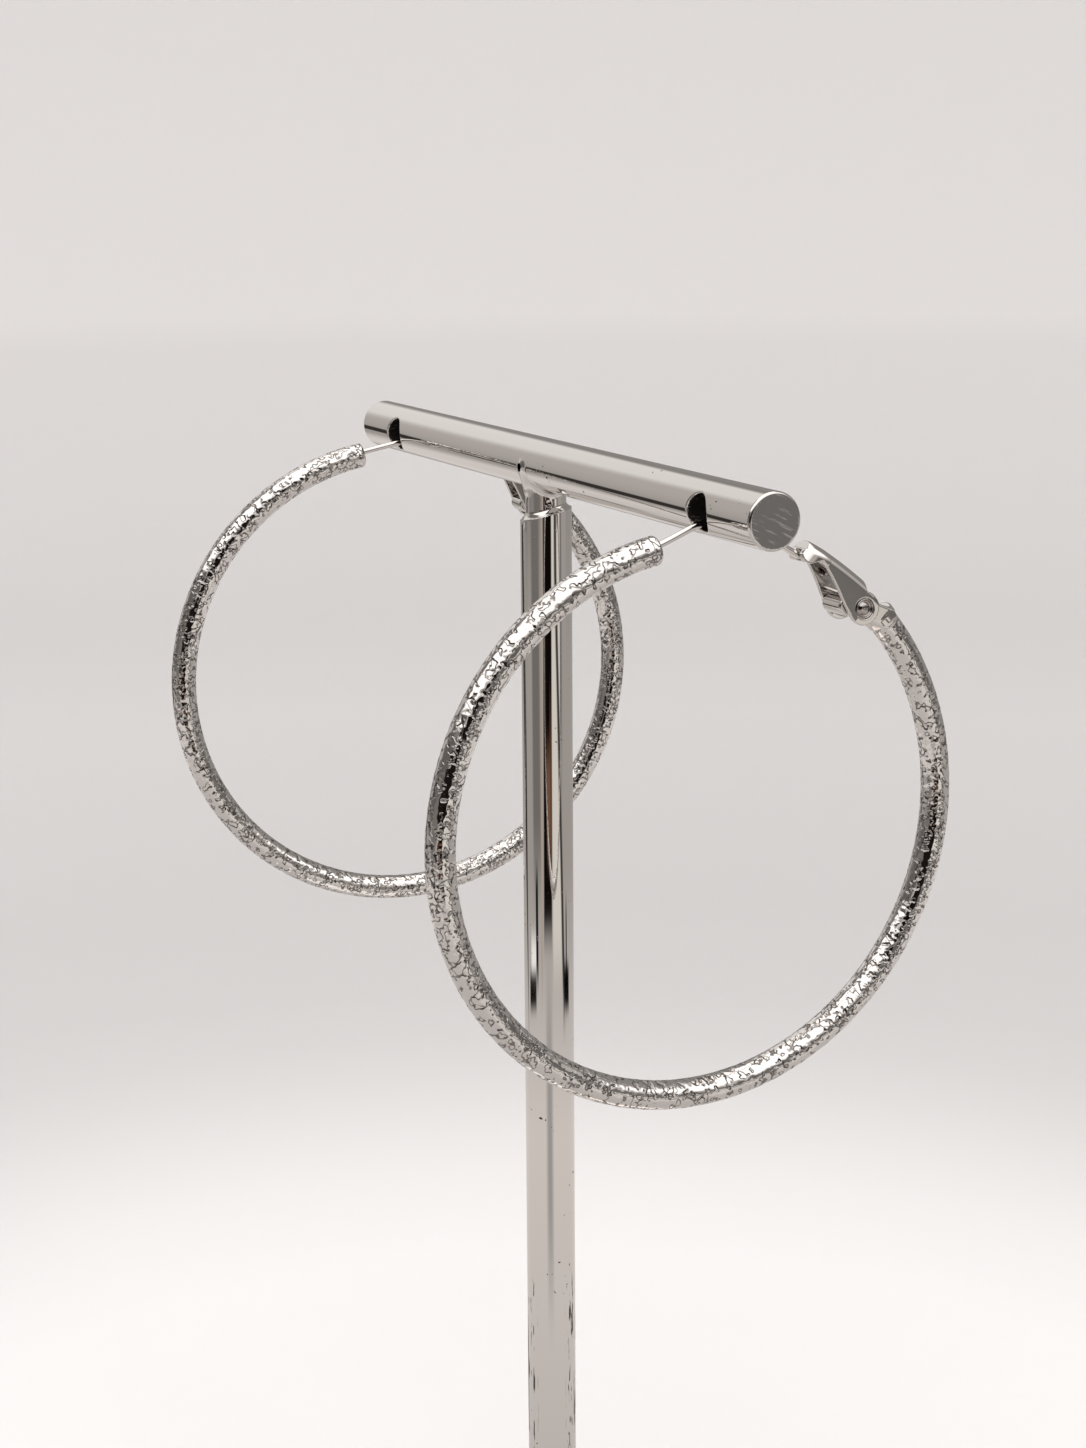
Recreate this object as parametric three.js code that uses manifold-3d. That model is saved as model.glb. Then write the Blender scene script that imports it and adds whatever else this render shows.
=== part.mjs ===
// A pair of hoop earrings hanging by their ear pins from the cross bar of a T-bar stand.
// Millimetres, +Z up. The origin is on the surface that the stand stands on, under the middle of the bar.
// The bar runs along X, and the earrings hang in planes across it.

import * as THREE from 'three';
import { mergeVertices } from 'three/addons/utils/BufferGeometryUtils.js';
import Module from 'manifold-3d';

const wasm = await Module();
wasm.setup();

// Driving dimensions of the stand
const barHeight = 150;            // bar axis above the surface
const barLength = 95.8;
const rodDiameter = 5.8;          // bar and post are the same rod
const postOffset = -0.9;          // post axis from the middle of the bar
const neckDiameter = 4.6;         // solder neck between post and bar
const neckTop = 1.9;              // height of the neck's straight part, below the bar's underside
const neckLength = 2.6;           // from the bar's underside down to the post's full width
const holeInset = 9.95;           // axes of the two cross-holes from the bar's ends
const holeDiameter = 3.7;
const holeDrop = 0.25;            // hole axis below the bar axis
const baseDiameter = 70;
const baseThickness = 6;
const baseEdge = 1.2;             // rounding of the base's upper edge
const spigotDiameter = 4;         // lower end of the post, let into the base
const spigotLength = 3.5;
const socketClearance = 0.3;

// Driving dimensions of an earring, in the plane of its hoop
const hoopDiameter = 60;          // over the tube
const tubeDiameter = 3;
const pinEndAngle = 99.8;         // degrees, from the horizontal across the bar
const claspEndAngle = 42.2;
const pinDiameter = 0.7;
const pinOffset = 0.35;           // pin's root outwards of the tube's axis
const pinArch = 0.35;             // rise of the pin's crown between the mouths of its hole
const hoopSetback = 2.1;          // hoop centre in front of the bar axis
const collarDiameter = 3.35;
const collarLength = 1;
const pivotReach = 3.35;          // rivet axis ahead of the collar's middle, along the tube
const pivotInset = 1.5;           // rivet axis inwards of the tube's axis
const leverTilt = 4;              // degrees, lever turned inwards of the tube's direction
const leverWidth = 4.8;           // over the cheeks, at the rivet
const leverWaistWidth = 4;        // over the cheeks, where the tip begins to round
const leverTipWidth = 1.8;
const leverLength = 9;            // rivet axis to the tip
const tipRound = 2.8;             // length of the rounded tip
const cheekRadius = 1.75;         // round ends of the cheeks, about the rivet
const cheekWaist = [[1.09, -0.71], [2.4, -0.17]];  // lower edge ahead of the rivet, in cheek radii
const webStart = 0.95;            // web's end near the rivet, in cheek radii
const sheetThickness = 0.5;
const foldRadius = 0.75;          // outside radius of the folds between web and cheeks
const webRise = 2.3;              // web's outside above the rivet axis
const webTipRise = 1.25;
const webCrown = 0.2;             // how far the web bows outwards half way
const cheekClearance = 0.5;       // cheeks' lower edge above the lever's axis, where the hem begins
const hemLength = 2;              // sheet folded in at the tip, filling it
const lipDepth = 0.75;            // hem at the tip, below the lever's axis
const notchWidth = 1.05;
const notchLength = 1.3;
const pinEntry = 0.8;             // pin's end inside the tip
const pinDip = 0.35;              // pin's end below the lever's axis
const pinGap = 0.12;              // pin to the root of the notch
const lugWidth = 3.3;
const lugRadius = 1.1;
const hingeGap = 0.08;            // between lug, cheeks and rivet
const rivetHeadDiameter = 2;
const rivetShankDiameter = 1.2;
const rivetDome = 0.12;

// How each earring happens to hang: slide is its plane from its hole's axis, reach the bar axis above
// the tube's axis at the top, gap the pin from the wall of its hole. Its pin is sprung to fit.
const hangings = [
  { name: 'near', side: 1, slide: -0.5, reach: 3.2, gap: 0.12, turn: 0, lean: 0.8 },
  { name: 'far', side: -1, slide: 0.4, reach: 2.2, gap: 0.35, turn: -6.5, lean: -0.1 },
];

// Facets
const rodSides = 28;
const holeSides = 20;
const tubeSides = 16;
const tubeSteps = 72;
const pinSides = 10;
const pinSteps = 22;
const roundSides = 20;
const baseSides = 48;
const foldSteps = 3;
const webSteps = 12;

const holeSpread = barLength - 2 * holeInset;
const rodRadius = rodDiameter / 2;
const holeRadius = holeDiameter / 2;
const tubeRadius = tubeDiameter / 2;
const pinRadius = pinDiameter / 2;
const hoopRadius = hoopDiameter / 2 - tubeRadius;
const collarRadius = collarDiameter / 2;

const finishes = {
  chrome: { color: 0xb9b6b3, roughness: 0.12, metalness: 1 },
  silver: { color: 0xc9c7c4, roughness: 0.3, metalness: 1 },
  polished: { color: 0xbdb9b5, roughness: 0.15, metalness: 1 },
};

function direction(degrees) {
  const angle = THREE.MathUtils.degToRad(degrees);
  return new THREE.Vector2(Math.cos(angle), Math.sin(angle));
}

function tangent(degrees) {
  return direction(degrees + 90);
}

function onHoop(degrees) {
  return direction(degrees).multiplyScalar(hoopRadius);
}

function solid(geometry) {
  const bare = geometry.clone();
  bare.deleteAttribute('normal');
  bare.deleteAttribute('uv');
  const merged = mergeVertices(bare, 1e-5);
  return new wasm.Manifold(new wasm.Mesh({
    numProp: 3,
    vertProperties: new Float32Array(merged.attributes.position.array),
    triVerts: new Uint32Array(merged.index.array),
  }));
}

function geometryOf(body) {
  const mesh = body.getMesh();
  const geometry = new THREE.BufferGeometry();
  geometry.setAttribute('position', new THREE.BufferAttribute(new Float32Array(mesh.vertProperties), 3));
  geometry.setIndex(Array.from(mesh.triVerts));
  geometry.computeVertexNormals();
  return geometry;
}

function piece(name, geometry, finish) {
  const mesh = new THREE.Mesh(geometry, new THREE.MeshStandardMaterial(finish));
  mesh.name = name;
  return mesh;
}

function disc(radius, sides) {
  const corners = [];
  for (let i = 0; i < sides; i += 1) {
    corners.push(direction((360 * i) / sides).multiplyScalar(radius));
  }
  return new THREE.Shape(corners);
}

// An outline drawn in the hoop's plane, made as thick as width, half to each side of the plane
function plate(corners, width) {
  const geometry = new THREE.ExtrudeGeometry(new THREE.Shape(corners), { depth: width, bevelEnabled: false });
  return geometry.translate(0, 0, -width / 2);
}

// A round bar of a length along local Z, centred on the origin
function drum(radius, length, sides) {
  const geometry = new THREE.ExtrudeGeometry(disc(radius, sides), { depth: length, bevelEnabled: false });
  return geometry.translate(0, 0, -length / 2);
}

function arcPoints(centre, radius, from, to, steps) {
  const points = [];
  for (let i = 0; i <= steps; i += 1) {
    const angle = from + ((to - from) * i) / steps;
    points.push(direction(angle).multiplyScalar(radius).add(centre));
  }
  return points;
}

// A closed body through rings of equally many points, with flat ends
function loft(rings) {
  const count = rings[0].length;
  const position = rings.flat().flatMap((point) => [point.x, point.y, point.z]);
  const index = [];
  for (let ring = 0; ring < rings.length - 1; ring += 1) {
    for (let i = 0; i < count; i += 1) {
      const a = ring * count + i;
      const b = ring * count + ((i + 1) % count);
      index.push(a, b, b + count, a, b + count, a + count);
    }
  }
  const outline = rings[0].map((point) => new THREE.Vector2(point.y, point.z));
  const last = (rings.length - 1) * count;
  for (const [a, b, c] of THREE.ShapeUtils.triangulateShape(outline, [])) {
    index.push(c, b, a, last + a, last + b, last + c);
  }
  const geometry = new THREE.BufferGeometry();
  geometry.setAttribute('position', new THREE.BufferAttribute(new Float32Array(position), 3));
  geometry.setIndex(index);
  return geometry;
}

class HoopArc extends THREE.Curve {
  getPoint(t, target = new THREE.Vector3()) {
    const sweep = 360 + claspEndAngle - pinEndAngle;
    const place = onHoop(pinEndAngle + sweep * t);
    return target.set(place.x, place.y, 0);
  }
}

// Stand

function baseGeometry() {
  const radius = baseDiameter / 2;
  const socket = spigotDiameter / 2 + socketClearance;
  const floor = baseThickness - spigotLength - socketClearance;
  const edge = arcPoints(new THREE.Vector2(radius - baseEdge, baseThickness - baseEdge), baseEdge, 0, 90, 4);
  const profile = [
    new THREE.Vector2(0, 0),
    new THREE.Vector2(radius, 0),
    ...edge,
    new THREE.Vector2(socket, baseThickness),
    new THREE.Vector2(socket, floor),
    new THREE.Vector2(0, floor),
  ];
  return new THREE.LatheGeometry(profile, baseSides).rotateX(Math.PI / 2);
}

function teeGeometry() {
  const underside = barHeight - rodRadius;
  const waist = neckDiameter / 2;
  const spigot = spigotDiameter / 2;
  const profile = [
    new THREE.Vector2(0, baseThickness - spigotLength),
    new THREE.Vector2(spigot, baseThickness - spigotLength),
    new THREE.Vector2(spigot, baseThickness),
    new THREE.Vector2(rodRadius, baseThickness),
    new THREE.Vector2(rodRadius, underside - neckLength),
    new THREE.Vector2(waist + (rodRadius - waist) * 0.35, underside - (neckLength + neckTop) / 2),
    new THREE.Vector2(waist, underside - neckTop),
    new THREE.Vector2(waist, barHeight),
    new THREE.Vector2(0, barHeight),
  ];
  const turned = new THREE.LatheGeometry(profile, rodSides).rotateX(Math.PI / 2);
  const post = solid(turned.translate(postOffset, 0, 0));
  const bar = solid(drum(rodRadius, barLength, rodSides).rotateY(Math.PI / 2).translate(0, 0, barHeight));
  let tee = bar.add(post);
  for (const { side } of hangings) {
    const hole = drum(holeRadius, rodDiameter * 2, holeSides).rotateX(Math.PI / 2);
    hole.translate((side * holeSpread) / 2, 0, barHeight - holeDrop);
    tee = tee.subtract(solid(hole));
  }
  return geometryOf(tee);
}

// Earring, in the plane of its hoop: x across the bar, y up, z along the bar, from the hoop's centre

const collarMiddle = onHoop(claspEndAngle);
const pivot = collarMiddle.clone()
  .addScaledVector(tangent(claspEndAngle), pivotReach)
  .addScaledVector(direction(claspEndAngle), -pivotInset);
const leverAngle = claspEndAngle + 90 + leverTilt;

// A place on the lever: s from the rivet towards the tip, n outwards
function onLever(s, n) {
  return pivot.clone()
    .addScaledVector(direction(leverAngle), s)
    .addScaledVector(direction(leverAngle - 90), n);
}

function pinGeometry(hanging) {
  const reach = holeRadius - pinRadius - hanging.gap;
  const drop = Math.sqrt(reach * reach - hanging.slide * hanging.slide);
  const seat = hoopRadius + hanging.reach - holeDrop - drop;
  const mouth = Math.sqrt(rodRadius * rodRadius - holeRadius * holeRadius);
  const shoulder = onHoop(pinEndAngle).addScaledVector(direction(pinEndAngle), pinOffset);
  const root = shoulder.clone().addScaledVector(tangent(pinEndAngle), tubeRadius);
  const end = onLever(leverLength - pinEntry, -pinDip);
  const route = [
    root,
    shoulder,
    new THREE.Vector2(hoopSetback - mouth, seat),
    new THREE.Vector2(hoopSetback, seat + pinArch),
    new THREE.Vector2(hoopSetback + mouth, seat),
    end,
  ];
  const places = route.map((point) => new THREE.Vector3(point.x, point.y, 0));
  const path = new THREE.CatmullRomCurve3(places, false, 'centripetal');
  return new THREE.ExtrudeGeometry(disc(pinRadius, pinSides), { steps: pinSteps, extrudePath: path });
}

function lugGeometry() {
  const outward = direction(claspEndAngle);
  const inner = collarMiddle.clone().addScaledVector(outward, -lugRadius);
  const outer = collarMiddle.clone().addScaledVector(outward, lugRadius);
  const nose = arcPoints(pivot, lugRadius, claspEndAngle + 20, claspEndAngle + 180, 8);
  return plate([inner, outer, ...nose], lugWidth);
}

function hoopGeometry(hanging) {
  const section = disc(tubeRadius, tubeSides);
  const tube = new THREE.ExtrudeGeometry(section, { steps: tubeSteps, extrudePath: new HoopArc() });
  const collar = drum(collarRadius, collarLength, tubeSides).rotateX(-Math.PI / 2);
  collar.rotateZ(THREE.MathUtils.degToRad(claspEndAngle)).translate(collarMiddle.x, collarMiddle.y, 0);
  const bore = drum(rivetShankDiameter / 2 + hingeGap, leverWidth, roundSides).translate(pivot.x, pivot.y, 0);
  const body = solid(tube)
    .add(solid(collar))
    .add(solid(lugGeometry()))
    .add(solid(pinGeometry(hanging)))
    .subtract(solid(bore));
  return geometryOf(body);
}

// Lever, from the rivet axis: x towards the tip, y outwards, z across

function webHeight(s) {
  const share = s / leverLength;
  return webRise + (webTipRise - webRise) * share + webCrown * 4 * share * (1 - share);
}

function leverHalfWidth(s) {
  const shoulder = leverLength - tipRound;
  if (s < shoulder) {
    const share = Math.max(s / shoulder, 0);
    return (leverWidth + (leverWaistWidth - leverWidth) * share) / 2;
  }
  const share = Math.min((s - shoulder) / tipRound, 1);
  return (leverTipWidth + (leverWaistWidth - leverTipWidth) * Math.sqrt(1 - share * share)) / 2;
}

// One upside-down U of the lever's sheet, or of the space inside it
function channelRing(s, shrink) {
  const half = leverHalfWidth(s) - shrink;
  const top = webHeight(s) - shrink;
  const radius = foldRadius - shrink;
  const depth = -4 * cheekRadius;
  const ring = [new THREE.Vector3(s, depth, -half)];
  for (const sign of [-1, 1]) {
    for (let i = 0; i <= foldSteps; i += 1) {
      const turn = (Math.PI / 2) * (sign < 0 ? i / foldSteps : 1 - i / foldSteps);
      const y = top - radius + radius * Math.sin(turn);
      ring.push(new THREE.Vector3(s, y, sign * (half - radius + radius * Math.cos(turn))));
    }
  }
  ring.push(new THREE.Vector3(s, depth, half));
  return ring;
}

function channel(from, to, shrink) {
  const rings = [];
  for (let i = 0; i <= webSteps; i += 1) {
    const share = Math.sin((Math.PI / 2) * (i / webSteps));
    rings.push(channelRing(from + (to - from) * share, shrink));
  }
  return loft(rings);
}

// The cheek's outline: round about the rivet, waisted below, with the hem's depth at the tip
function cheekOutline() {
  const hem = leverLength - hemLength;
  const nose = new THREE.Vector2(leverLength - lipDepth, 0);
  const waist = cheekWaist.map(([x, y]) => new THREE.Vector2(x, y).multiplyScalar(cheekRadius));
  const brow = cheekRadius * webStart;
  const above = webRise * 2;
  return [
    ...arcPoints(new THREE.Vector2(0, 0), cheekRadius, 58, 300, 14),
    ...waist,
    new THREE.Vector2(hem, cheekClearance),
    ...arcPoints(nose, lipDepth, 235, 390, 6),
    new THREE.Vector2(leverLength, above),
    new THREE.Vector2(brow + sheetThickness, above),
    new THREE.Vector2(brow, webHeight(brow)),
  ];
}

function leverGeometry() {
  const ends = 2 * cheekRadius;
  const outside = solid(channel(-ends, leverLength, 0));
  const inside = solid(channel(-ends - 1, leverLength - hemLength, sheetThickness));
  const cheeks = solid(plate(cheekOutline(), leverWidth * 2));
  const holes = solid(drum(rivetHeadDiameter / 2 + hingeGap, leverWidth * 2, roundSides));
  const notch = new THREE.BoxGeometry(2 * notchLength, 2 * leverWidth, notchWidth);
  notch.translate(leverLength, -pinDip + pinRadius + pinGap - leverWidth, 0);
  return geometryOf(outside.intersect(cheeks).subtract(inside).subtract(holes).subtract(solid(notch)));
}

function rivetGeometry() {
  const head = rivetHeadDiameter / 2;
  const shank = rivetShankDiameter / 2;
  const face = leverWidth / 2;
  const shoulder = face - sheetThickness;
  const rim = head * 0.7;
  const profile = [
    new THREE.Vector2(0, -face - rivetDome),
    new THREE.Vector2(rim, -face - rivetDome * 0.7),
    new THREE.Vector2(head, -face),
    new THREE.Vector2(head, -shoulder),
    new THREE.Vector2(shank, -shoulder),
    new THREE.Vector2(shank, shoulder),
    new THREE.Vector2(head, shoulder),
    new THREE.Vector2(head, face),
    new THREE.Vector2(rim, face + rivetDome * 0.7),
    new THREE.Vector2(0, face + rivetDome),
  ];
  return new THREE.LatheGeometry(profile, roundSides).rotateX(Math.PI / 2);
}

// The hoop's plane stands up across the bar, and the whole earring turns and leans about its seat
function earring(hanging) {
  const plane = new THREE.Group();
  plane.setRotationFromMatrix(new THREE.Matrix4().makeBasis(
    new THREE.Vector3(0, 1, 0),
    new THREE.Vector3(0, 0, 1),
    new THREE.Vector3(1, 0, 0),
  ));
  plane.position.set(0, -hoopSetback, -hoopRadius - hanging.reach);

  const hoop = piece(`${hanging.name}_hoop`, hoopGeometry(hanging), finishes.silver);
  const lever = piece(`${hanging.name}_lever`, leverGeometry(), finishes.polished);
  lever.rotation.set(Math.PI, 0, THREE.MathUtils.degToRad(leverAngle), 'ZYX');
  const rivet = piece(`${hanging.name}_rivet`, rivetGeometry(), finishes.polished);
  for (const mesh of [lever, rivet]) {
    mesh.position.set(pivot.x, pivot.y, 0);
  }
  plane.add(hoop, lever, rivet);

  const seat = new THREE.Group();
  const { degToRad } = THREE.MathUtils;
  seat.rotation.set(0, degToRad(-hanging.lean), degToRad(hanging.turn), 'ZYX');
  seat.position.set((hanging.side * holeSpread) / 2 + hanging.slide, 0, barHeight);
  seat.add(plane);
  return seat;
}

const part = new THREE.Group();
const base = piece('stand_base', baseGeometry(), finishes.chrome);
base.position.x = postOffset;
part.add(base, piece('stand_tee', teeGeometry(), finishes.chrome));
for (const hanging of hangings) {
  part.add(earring(hanging));
}

export default part;
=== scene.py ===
"""A pair of textured hoop earrings hanging from a chrome T-bar stand.

Every object is in metres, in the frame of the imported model: the origin is on the surface under the middle
of the bar, X runs along the bar and Z is up. Sizes in this file are in millimetres, and a piece is scaled
to metres when it is put in its place.
"""

import logging
import math
from collections.abc import Callable, Sequence
from dataclasses import dataclass, field
from enum import Enum

import bpy
import numpy as np
from mathutils import Matrix, Vector


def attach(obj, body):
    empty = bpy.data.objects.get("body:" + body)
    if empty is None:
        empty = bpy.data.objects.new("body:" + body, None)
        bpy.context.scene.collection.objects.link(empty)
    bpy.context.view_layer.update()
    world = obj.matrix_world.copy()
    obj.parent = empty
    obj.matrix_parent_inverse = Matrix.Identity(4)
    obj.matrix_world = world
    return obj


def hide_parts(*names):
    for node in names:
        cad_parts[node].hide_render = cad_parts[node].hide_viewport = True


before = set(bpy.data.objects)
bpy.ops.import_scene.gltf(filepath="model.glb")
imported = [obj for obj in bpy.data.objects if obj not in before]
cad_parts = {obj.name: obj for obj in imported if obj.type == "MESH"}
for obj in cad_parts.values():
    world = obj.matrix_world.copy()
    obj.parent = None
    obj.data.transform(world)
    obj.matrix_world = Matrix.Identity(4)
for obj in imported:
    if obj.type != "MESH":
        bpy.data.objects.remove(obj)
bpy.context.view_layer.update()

MM = 0.001
log = logging.getLogger("earrings")

Field = Callable[[np.ndarray], np.ndarray]
Colour = tuple[float, float, float]


class Body(Enum):
    """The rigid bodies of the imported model."""

    STAND = "stand"
    NEAR_CLASP = "near_clasp"
    FAR_CLASP = "far_clasp"


class Slot(Enum):
    """The record's material slots."""

    STAND = "stand_chrome"
    HOOP = "hoop_silver"
    CLASP = "clasp_polished"


# Node trees


class Value:
    """An output socket that can be used in an expression."""

    def __init__(self, tree: "Tree", socket: bpy.types.NodeSocket) -> None:
        """Keeps the socket and the tree that it belongs to."""
        self.tree = tree
        self.socket = socket

    def __add__(self, other: "Value | float") -> "Value":
        """Sum."""
        return self.tree.math("ADD", self, other)

    __radd__ = __add__

    def __sub__(self, other: "Value | float") -> "Value":
        """Difference."""
        return self.tree.math("SUBTRACT", self, other)

    def __rsub__(self, other: "Value | float") -> "Value":
        """Difference from a number."""
        return self.tree.math("SUBTRACT", other, self)

    def __mul__(self, other: "Value | float") -> "Value":
        """Product."""
        return self.tree.math("MULTIPLY", self, other)

    __rmul__ = __mul__

    def __truediv__(self, other: "Value | float") -> "Value":
        """Quotient."""
        return self.tree.math("DIVIDE", self, other)

    def __rtruediv__(self, other: "Value | float") -> "Value":
        """Quotient of a number."""
        return self.tree.math("DIVIDE", other, self)

    def __abs__(self) -> "Value":
        """Distance from zero."""
        return self.tree.math("ABSOLUTE", self)

    def step(self, low: float, high: float) -> "Value":
        """Smooth rise from 0 at low to 1 at high.

        Args:
            low: where the rise starts.
            high: where it ends.

        Returns:
            The eased share.
        """
        node = self.tree.node(
            "ShaderNodeMapRange",
            {"interpolation_type": "SMOOTHSTEP"},
            {"Value": self, "From Min": low, "From Max": high},
        )
        return Value(self.tree, node.outputs[0])

    def within(self, low: float, high: float, soft: float) -> "Value":
        """1 between two limits and 0 outside them, with soft edges.

        Args:
            low: lower limit.
            high: upper limit.
            soft: half the width of each edge.

        Returns:
            The mask.
        """
        return self.step(low - soft, low + soft) * (1 - self.step(high - soft, high + soft))


class Tree:
    """Adds nodes to one node tree."""

    def __init__(self, nodes: bpy.types.NodeTree) -> None:
        """Keeps the node tree that the nodes go into."""
        self.nodes = nodes

    def node(self, kind: str, settings: dict | None = None, inputs: dict | None = None) -> bpy.types.Node:
        """Adds a node of any type.

        Args:
            kind: the node's type.
            settings: its properties, set first; stops are a colour ramp's.
            inputs: socket name, identifier or number to a value or a link.

        Returns:
            The node.
        """
        made = self.nodes.nodes.new(kind)
        for name, value in (settings or {}).items():
            if name == "stops":
                self.ramp(made, value)
            else:
                setattr(made, name, value)
        for key, value in (inputs or {}).items():
            socket = self.socket(made.inputs, key)
            if isinstance(value, Value):
                self.nodes.links.new(value.socket, socket)
            else:
                socket.default_value = value
        return made

    @staticmethod
    def socket(sockets: bpy.types.bpy_prop_collection, key: str | int) -> bpy.types.NodeSocket:
        """Finds a socket by its number, its identifier or its name."""
        if isinstance(key, int):
            return sockets[key]
        found = [s for s in sockets if s.identifier == key] or [s for s in sockets if s.name == key and s.enabled]
        return found[0]

    @staticmethod
    def ramp(node: bpy.types.Node, stops: Sequence[tuple[float, Colour]]) -> None:
        """Sets a colour ramp's stops."""
        elements = node.color_ramp.elements
        while len(elements) > 1:
            elements.remove(elements[-1])
        for number, (place, colour) in enumerate(stops):
            element = elements[0] if number == 0 else elements.new(place)
            element.position = place
            element.color = (*colour, 1)

    def out(self, kind: str, settings: dict | None = None, inputs: dict | None = None, key: str | int = 0) -> Value:
        """Adds a node and gives one of its outputs."""
        return Value(self, self.socket(self.node(kind, settings, inputs).outputs, key))

    def math(self, operation: str, *values: "Value | float") -> Value:
        """Adds a Math node."""
        return self.out("ShaderNodeMath", {"operation": operation}, dict(enumerate(values)))

    def vector(self, operation: str, *values: "Value | Sequence[float]", key: str = "Vector") -> Value:
        """Adds a Vector Math node."""
        return self.out("ShaderNodeVectorMath", {"operation": operation}, dict(enumerate(values)), key)

    def scaled(self, place: Value, size: Sequence[float]) -> Value:
        """Divides a place in metres by a pattern's sizes in millimetres.

        Args:
            place: the place, in metres.
            size: the pattern's size along each axis, in millimetres.

        Returns:
            The place, in pattern sizes.
        """
        return self.vector("MULTIPLY", place, [1 / (MM * s) for s in size])

    def noise(self, place: Value, size: Sequence[float], detail: float = 2, roughness: float = 0.5) -> Value:
        """Noise with features of a size in millimetres.

        Args:
            place: the place, in metres.
            size: the features' size along each axis, in millimetres.
            detail: octaves.
            roughness: share of each finer octave.

        Returns:
            The noise, from 0 to 1.
        """
        inputs = {"Vector": self.scaled(place, size), "Scale": 1.0, "Detail": detail, "Roughness": roughness}
        return self.out("ShaderNodeTexNoise", None, inputs)

    def mix(self, share: "Value | float", first: "Value | Colour", second: "Value | Colour") -> Value:
        """Mixes two colours."""
        inputs = {"Factor_Float": share}
        for key, colour in (("A_Color", first), ("B_Color", second)):
            inputs[key] = colour if isinstance(colour, Value) else (*colour, 1)
        return self.out("ShaderNodeMix", {"data_type": "RGBA"}, inputs, "Result_Color")

    def bump(self, height: Value, depth: float, under: Value | None = None) -> Value:
        """Adds a Bump node.

        Args:
            height: the relief, from 0 to 1.
            depth: what a height of 1 stands for, in millimetres.
            under: the normal that it goes on.

        Returns:
            The normal.
        """
        inputs = {"Height": height, "Distance": depth * MM, "Strength": 1.0}
        if under is not None:
            inputs["Normal"] = under
        return self.out("ShaderNodeBump", None, inputs)


# Finishes


class Finish:
    """A finish that a material is made from."""

    name: str

    def material(self) -> bpy.types.Material:
        """The material, made the first time that it is asked for."""
        made = bpy.data.materials.get(self.name)
        if made is None:
            made = bpy.data.materials.new(self.name)
            made.use_nodes = True
            made.node_tree.nodes.clear()
            tree = Tree(made.node_tree)
            place = tree.out("ShaderNodeTexCoord", key="Object")
            shader = tree.node("ShaderNodeBsdfPrincipled", None, self.look(tree, place))
            surface = Value(tree, shader.outputs[0])
            tree.node("ShaderNodeOutputMaterial", None, {"Surface": surface})
        return made

    def look(self, tree: Tree, place: Value) -> dict:
        """The shader's inputs.

        Args:
            tree: the material's tree.
            place: Object coordinates, in metres.

        Returns:
            Socket name to value.
        """
        raise NotImplementedError


@dataclass(frozen=True)
class Chrome(Finish):
    """Bright plating with faint waves, small pits and scuffs."""

    name: str
    tint: Colour = (0.74, 0.72, 0.7)
    roughness: float = 0.03
    wave: float = 0.01
    bar_underside: float = 147.0
    scuffs_below: float = 53.0
    scuffed_sides: tuple[float, float] = (0.44, 0.898)

    def look(self, tree: Tree, place: Value) -> dict:
        """Plating that is duller and darker in its pits and scuffs."""
        cloud = tree.noise(place, (14, 5, 5), 3)
        speck = tree.noise(place, (0.5, 0.5, 0.5), 1)
        rare = tree.noise(place, (6, 6, 6), 1)
        pit = speck.step(0.7, 0.75) * rare.step(0.6, 0.66)
        height = tree.out("ShaderNodeSeparateXYZ", None, {"Vector": place}, "Z")
        low = 1 - height.step((self.scuffs_below - 4) * MM, self.scuffs_below * MM)
        aside = tree.vector("DOT_PRODUCT", place, (*self.scuffed_sides, 0), key="Value")
        flank = abs(aside + 0.4 * MM).step(1.5 * MM, 2.2 * MM)
        gone = tree.vector("LENGTH", tree.vector("MULTIPLY", place, (1, 1, 0)), key="Value")
        flank = flank * (1 - gone.step(4.5 * MM, 6 * MM))
        rub = tree.noise(place, (0.45, 0.45, 4.0), 2, 0.6).step(0.59, 0.62) * low * flank
        mark = tree.math("MAXIMUM", pit, rub)
        bar = height.step((self.bar_underside - 1) * MM, (self.bar_underside + 1) * MM)
        waves = tree.noise(place, (18, 3, 3), 1) * bar + tree.noise(place, (3, 3, 18), 1) * (1 - bar)
        normal = tree.bump(1 - mark, 0.03, tree.bump(waves, self.wave))
        return {
            "Base Color": tree.mix(mark, self.tint, (0.08, 0.07, 0.065)),
            "Metallic": 1.0,
            "Roughness": cloud * 0.04 + (self.roughness - 0.02) + mark * 0.3,
            "Normal": normal,
        }


@dataclass(frozen=True)
class Stippled(Finish):
    """Mirror-bright silver plating over small steep-sided dents, with painted shade on the dents' walls."""

    name: str
    tint: Colour = (0.8, 0.78, 0.765)
    # painted shade: the darker colour of the dents' steep walls
    wall: Colour = (0.2, 0.185, 0.175)
    roughness: float = 0.04
    dent: float = 0.8
    depth: float = 0.085

    def look(self, tree: Tree, place: Value) -> dict:
        """Smooth plateaus cut by crooked dents whose steep walls are a little rougher and carry painted shade."""
        dent = tree.noise(place, (self.dent,) * 3, 1, 0.6).step(0.34, 0.5)
        relief = tree.bump(dent, self.depth)
        steep = dent * (1 - dent) * 4
        return {
            # painted shade darkens the steep walls of the dents
            "Base Color": tree.mix(steep, self.tint, self.wall),
            "Metallic": 1.0,
            "Roughness": self.roughness + 0.04 * steep,
            "Normal": relief,
        }


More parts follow.
